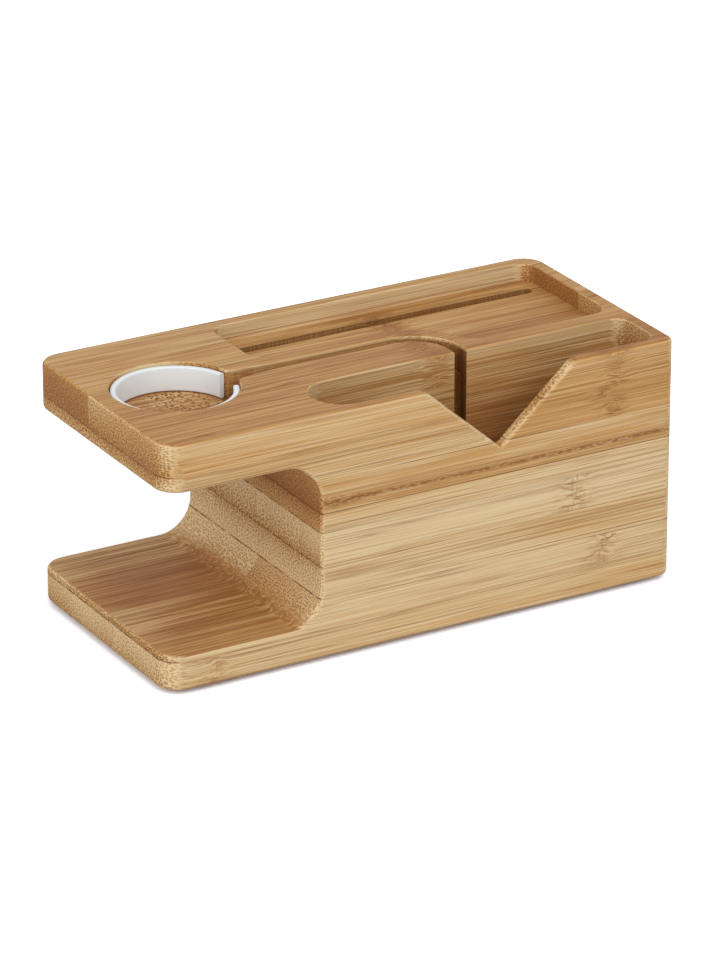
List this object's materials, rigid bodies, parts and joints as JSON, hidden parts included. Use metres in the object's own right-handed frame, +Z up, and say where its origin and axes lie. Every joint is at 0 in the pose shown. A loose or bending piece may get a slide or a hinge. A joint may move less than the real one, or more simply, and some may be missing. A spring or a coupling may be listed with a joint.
{
  "type": "charging station organizer",
  "caption": "Glued bamboo charging organizer with a lined round watch pocket over an open throat, a phone pocket behind a V notch, a cable groove and a slotted tray.",
  "frame": {"origin": "middle of the base, on the surface that the bumper feet stand on", "axes": "+X along the length away from the watch platform, +Y from front to back, +Z up"},
  "size_m": [0.14, 0.0666, 0.0636],
  "materials": {
    "bamboo": "satin oiled",
    "white_plastic": "satin",
    "clear_silicone": "clear"
  },
  "bodies": {
    "block": {"bottom_ply_strip_1": "bamboo", "bottom_ply_strip_2": "bamboo", "bottom_ply_strip_3": "bamboo", "bottom_ply_strip_4": "bamboo", "bumper_back_left": "clear_silicone", "bumper_back_right": "clear_silicone", "bumper_front_left": "clear_silicone", "bumper_front_right": "clear_silicone", "fifth_ply_strip_1": "bamboo", "fifth_ply_strip_2": "bamboo", "fifth_ply_strip_3": "bamboo", "fifth_ply_strip_4": "bamboo", "fourth_ply_strip_1": "bamboo", "fourth_ply_strip_2": "bamboo", "fourth_ply_strip_3": "bamboo", "fourth_ply_strip_4": "bamboo", "second_ply_strip_1_left": "bamboo", "second_ply_strip_1_right": "bamboo", "second_ply_strip_2": "bamboo", "second_ply_strip_3": "bamboo", "second_ply_strip_4": "bamboo", "seventh_ply_strip_1": "bamboo", "seventh_ply_strip_2": "bamboo", "seventh_ply_strip_3": "bamboo", "seventh_ply_strip_4": "bamboo", "sixth_ply_strip_1": "bamboo", "sixth_ply_strip_2": "bamboo", "sixth_ply_strip_3": "bamboo", "sixth_ply_strip_4": "bamboo", "third_ply_strip_1": "bamboo", "third_ply_strip_2": "bamboo", "third_ply_strip_3": "bamboo", "third_ply_strip_4": "bamboo", "top_ply_strip_1_left": "bamboo", "top_ply_strip_1_right": "bamboo", "top_ply_strip_2": "bamboo", "top_ply_strip_3": "bamboo", "top_ply_strip_4": "bamboo"},
    "liner": {"watch_charger_liner": "white_plastic"}
  },
  "joints": [
    {"name": "liner_lift", "type": "slide", "parent": "block", "child": "liner", "axis": [0, 0, 1], "range_m": [0, 0.009]}
  ]
}
